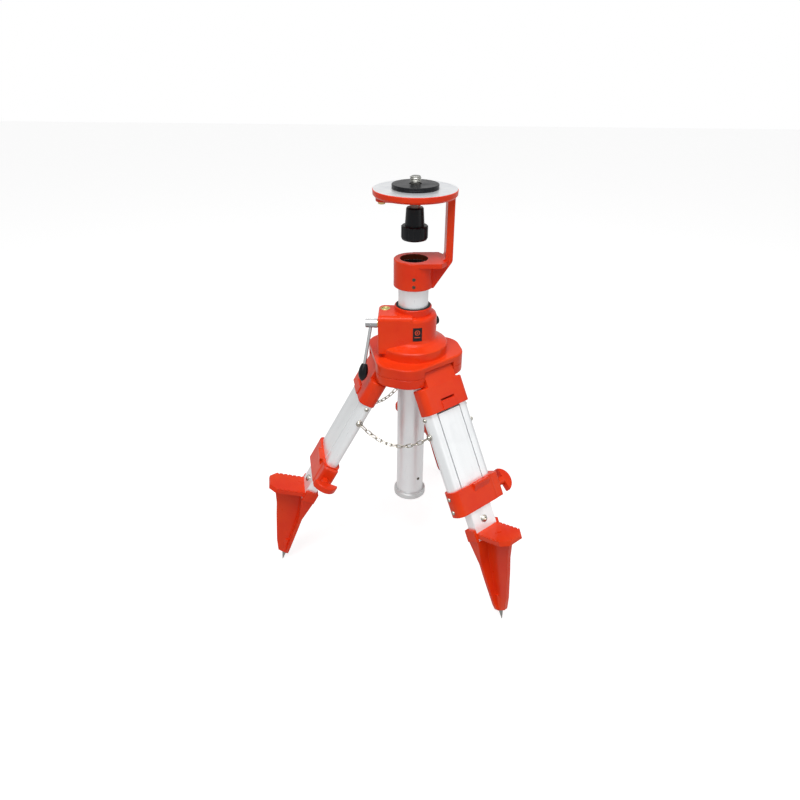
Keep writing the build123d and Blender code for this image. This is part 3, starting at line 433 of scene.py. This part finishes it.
# ---------------------------------------------------------------- mesh building
def new_piece(name, mesh_from, material):
    mesh = bpy.data.meshes.new(name)
    mesh_from.to_mesh(mesh)
    mesh_from.free()
    for polygon in mesh.polygons:
        polygon.use_smooth = True
    piece = bpy.data.objects.new(name, mesh)
    bpy.context.scene.collection.objects.link(piece)
    mesh.materials.append(MATERIALS[material])
    return piece


def skin(work, rows, close_rows=False):
    """Faces between closed rows of vertices; close_rows joins the last row to the first."""
    count = len(rows[0])
    pairs = list(zip(rows, rows[1:]))
    if close_rows:
        pairs.append((rows[-1], rows[0]))
    for low, high in pairs:
        for k in range(count):
            n = (k + 1) % count
            work.faces.new((low[k], low[n], high[n], high[k]))


def lathe(name, outline, at, material, segments=48):
    """Solid of revolution from (r, z) points; points on the axis close it."""
    work = bmesh.new()
    rows = []
    for r, z in outline:
        row = []
        for k in range(segments):
            t = 2 * math.pi * k / segments
            row.append(work.verts.new(at + Vector((r * math.cos(t), r * math.sin(t), z))))
        rows.append(row)
    skin(work, rows)
    bmesh.ops.remove_doubles(work, verts=work.verts, dist=1e-7)
    bmesh.ops.recalc_face_normals(work, faces=work.faces)
    return new_piece(name, work, material)


def tube_ring(work, centre, x_axis, y_axis, path, radius, sides=10):
    """Round wire round a closed flat path of (x, y, outward x, outward y)."""
    normal = x_axis.cross(y_axis)
    rows = []
    for x, y, nx, ny in path:
        out = x_axis * nx + y_axis * ny
        point = centre + x_axis * x + y_axis * y
        row = []
        for k in range(sides):
            t = 2 * math.pi * k / sides
            row.append(work.verts.new(point + out * radius * math.cos(t) + normal * radius * math.sin(t)))
        rows.append(row)
    skin(work, rows, close_rows=True)


def oval_path(half, r, steps=9):
    """Outline of a chain link: two half circles of radius r, their centres half from the middle."""
    path = []
    for side, start in ((1, -90), (-1, 90)):
        for k in range(steps):
            t = math.radians(start + 180 * k / (steps - 1))
            path.append((side * half + r * math.cos(t), r * math.sin(t), math.cos(t), math.sin(t)))
    return path


def ring_path(r, steps=24):
    return [(r * math.cos(t), r * math.sin(t), math.cos(t), math.sin(t))
            for t in (2 * math.pi * k / steps for k in range(steps))]


# ---------------------------------------------------------------- chains
def lug(azimuth, side):
    """Middle of a chain screw on the side of a leg."""
    origin, down, tangent, normal = leg_axes(azimuth)
    return origin + down * LUG_A + tangent * side * (RAIL_HALF + 0.0013) + normal * LUG_C


def chain(first_leg, second_leg, node):
    """Two half chains, each sagging from its own leg, and they meet in the middle."""
    ends = (lug(LEGS[first_leg], 1), lug(LEGS[second_leg], -1))
    joints, rings = [], []
    for k, leg in enumerate((first_leg, second_leg)):
        point, other = ends[k], ends[1 - k]
        axis = leg_axes(LEGS[leg])[2]
        to = other - point - Vector((0, 0, 4 * CHAIN_SAG))
        to = (to - axis * to.dot(axis)).normalized()
        centre = point + to * (RING_R - WIRE_R - SHANK_R - 0.00025)
        rings.append((centre, to, axis.cross(to)))
        joints.append(centre + to * (RING_R - WIRE_R - 0.00015))
    first, last = joints
    marks = []
    for k in range(CHAIN_LINKS + 1):
        t = k / CHAIN_LINKS
        marks.append(first + (last - first) * t - Vector((0, 0, 4 * CHAIN_SAG * t * (1 - t))))
    across = (last - first).cross(Vector((0, 0, 1))).normalized()
    halves = [bmesh.new(), bmesh.new()]
    for k, (centre, x_axis, y_axis) in enumerate(rings):
        tube_ring(halves[k], centre, x_axis, y_axis, ring_path(RING_R), WIRE_R)
    for k in range(CHAIN_LINKS):
        along = marks[k + 1] - marks[k]
        centre = (marks[k] + marks[k + 1]) / 2
        x_axis = along.normalized()
        y_axis = across.cross(x_axis) if k % 2 else across
        tilt = Matrix.Rotation(random.uniform(-0.18, 0.18), 3, x_axis)
        half = (along.length + 2 * WIRE_R + 0.0003) / 2 - LINK_HALF_WIDTH
        side = 0 if k <= CHAIN_LINKS // 2 else 1
        tube_ring(halves[side], centre, x_axis, tilt @ y_axis, oval_path(half, LINK_HALF_WIDTH), WIRE_R)
    for k, leg in enumerate((first_leg, second_leg)):
        piece = new_piece(node + ("_a" if k == 0 else "_b"), halves[k], "nickel")
        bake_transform(piece)
        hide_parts(node)


chain("left", "right", "chain_left")
chain("right", "back", "chain_right")
chain("back", "left", "chain_back")


# ---------------------------------------------------------------- instrument screw with a real thread
def threaded_screw():
    """5/8 inch screw: a helical V thread above the flange and below it, plain necks between."""
    core = STUD_R - 0.0011
    work = bmesh.new()
    segments = 60
    rows = []
    levels = []
    z = SCREW_BASE
    while z < SCREW_TOP:
        levels.append(z)
        fine = LOW_THREAD_START < z < LOW_THREAD_END or z > HIGH_THREAD_START
        z += THREAD_PITCH / 8 if fine else 0.002
    levels.append(SCREW_TOP)
    for z in levels:
        row = []
        for k in range(segments):
            t = k / segments
            phase = (z / THREAD_PITCH - t) % 1.0
            crest = 1 - abs(2 * phase - 1)
            crest = min(1.0, max(0.0, 1.25 * crest - 0.05))
            fade = 0.0 if z < LOW_THREAD_FADE else 1.0
            if z > HIGH_NECK_START:
                fade = min(1.0, max(0.0, (z - HIGH_THREAD_FADE) / 0.0015))
            r = core + (STUD_R - core) * crest * fade
            r -= max(0.0, z - TIP_CHAMFER_START) * 0.9
            angle = 2 * math.pi * t
            row.append(work.verts.new((r * math.cos(angle), r * math.sin(angle), z)))
        rows.append(row)
    skin(work, rows)
    work.faces.new(rows[0][::-1])
    work.faces.new(rows[-1])
    piece = new_piece("instrument_screw_threaded", work, "steel")
    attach(piece, "centring")
    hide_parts("centring_screw")
    outline = [(0.007, 0.6310), (0.0112, 0.6310), (0.0116, 0.6314), (0.0116, 0.6332),
               (0.0112, 0.6336), (0.007, 0.6336), (0.007, 0.6310)]
    flange = lathe("instrument_screw_flange", outline, Vector(), "steel")
    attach(flange, "centring")


threaded_screw()


# ---------------------------------------------------------------- bullseye vial
def vial():
    """Rim, bright liquid dome and its bubble."""
    rim_outline = [(0.0061, 0.0), (0.0075, 0.0), (0.0075, 0.0062), (0.0072, 0.0066),
                   (0.0064, 0.0066), (0.0061, 0.0063), (0.0061, 0.0)]
    dome_outline = [(0.0, 0.0005), (0.0061, 0.0005), (0.0061, 0.0052), (0.0050, 0.0057),
                    (0.0034, 0.0061), (0.0017, 0.00635), (0.0, 0.0064)]
    bubble_outline = [(0.0, 0.0056), (0.0016, 0.0057), (0.0021, 0.0060), (0.0016, 0.00650),
                      (0.0008, 0.0066), (0.0, 0.0066)]
    bubble_place = VIAL + Vector((0.0004, -0.0003, -0.0001))
    rim = lathe("vial_rim", rim_outline, VIAL, "brass", 64)
    liquid = lathe("vial_liquid_dome", dome_outline, VIAL, "vial", 64)
    bubble = lathe("vial_bubble", bubble_outline, bubble_place, "clear", 40)
    for piece in (rim, liquid, bubble):
        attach(piece, "hub")
    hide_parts("level_vial")


vial()


# ---------------------------------------------------------------- floor, light, camera
def floor_white():
    """Pale to the eye and in mirrors, duller as a reflector of the lamps."""
    g = Graph("floor_white")
    cloud = g.ramp(g.noise(3.0), 0.3, 0.7, 0.0, 0.02)
    g.set(Base_Color=g.mix(cloud, rgb(0.58, 0.58, 0.58), rgb(0.54, 0.54, 0.54)))
    g.set(Roughness=0.9, Emission_Color=rgb(1, 1, 1))
    path = g.node("ShaderNodeLightPath")
    mirrored = g.math("MULTIPLY", path.outputs["Is Glossy Ray"], 0.6)
    seen = g.math("ADD", path.outputs["Is Camera Ray"], mirrored)
    g.set(Emission_Strength=g.math("MULTIPLY", seen, FLOOR_GLOW))
    return g.material


def floor():
    work = bmesh.new()
    ends = ((-1, -1), (1, -1), (1, 1), (-1, 1))
    work.faces.new([work.verts.new((x * FLOOR_HALF, y * FLOOR_HALF, -0.0005)) for x, y in ends])
    MATERIALS["floor"] = floor_white()
    new_piece("floor", work, "floor")


def soft_box(name, place, target, size, power):
    light = bpy.data.lights.new(name, "AREA")
    light.shape = "RECTANGLE"
    light.size, light.size_y = size
    light.energy = power
    lamp = bpy.data.objects.new(name, light)
    bpy.context.scene.collection.objects.link(lamp)
    lamp.location = place
    lamp.rotation_euler = (Vector(target) - Vector(place)).to_track_quat("-Z", "Y").to_euler()


def world():
    """White to the eye, softer as a light."""
    made = bpy.data.worlds.new("studio")
    made.use_nodes = True
    tree = made.node_tree
    path = tree.nodes.new("ShaderNodeLightPath")
    background = tree.nodes["Background"]
    background.inputs[0].default_value = (1, 1, 1, 1)
    level = WORLD_LIGHT
    for ray, target in (("Is Glossy Ray", MIRROR_LIGHT), ("Is Camera Ray", 1.0)):
        blend = tree.nodes.new("ShaderNodeMix")
        tree.links.new(path.outputs[ray], blend.inputs[0])
        if isinstance(level, float):
            blend.inputs[2].default_value = level
        else:
            tree.links.new(level, blend.inputs[2])
        blend.inputs[3].default_value = target
        level = blend.outputs[0]
    tree.links.new(level, background.inputs[1])
    bpy.context.scene.world = made


def camera():
    """Looks down over the platform from in front."""
    yaw, pitch, roll = [math.radians(angle) for angle in CAMERA_TURN]
    forward = Vector((math.sin(yaw) * math.cos(pitch), math.cos(yaw) * math.cos(pitch), -math.sin(pitch)))
    right = Vector((math.cos(yaw), -math.sin(yaw), 0))
    up = right.cross(forward)
    x_axis = right * math.cos(roll) + up * math.sin(roll)
    y_axis = up * math.cos(roll) - right * math.sin(roll)
    data = bpy.data.cameras.new("camera")
    data.sensor_width = 36.0
    data.lens = CAMERA_LENS
    data.shift_x, data.shift_y = CAMERA_SHIFT
    data.clip_start = 0.02
    eye = bpy.data.objects.new("camera", data)
    bpy.context.scene.collection.objects.link(eye)
    turn = Matrix((x_axis, y_axis, -forward)).transposed()
    eye.matrix_world = Matrix.Translation(CAMERA_PLACE) @ turn.to_4x4()
    bpy.context.scene.camera = eye
    bpy.context.scene.view_settings.view_transform = "Standard"


floor()
world()
soft_box("key", (-0.7, -1.3, 1.8), (0, 0, 0.35), (1.2, 0.9), 7.0)
soft_box("fill", (1.8, -0.8, 0.8), (0, 0, 0.30), (1.2, 1.2), 4.0)
soft_box("top", (0.0, -0.75, 2.2), (0, 0, 0.40), (1.5, 1.0), 27.0)
camera()
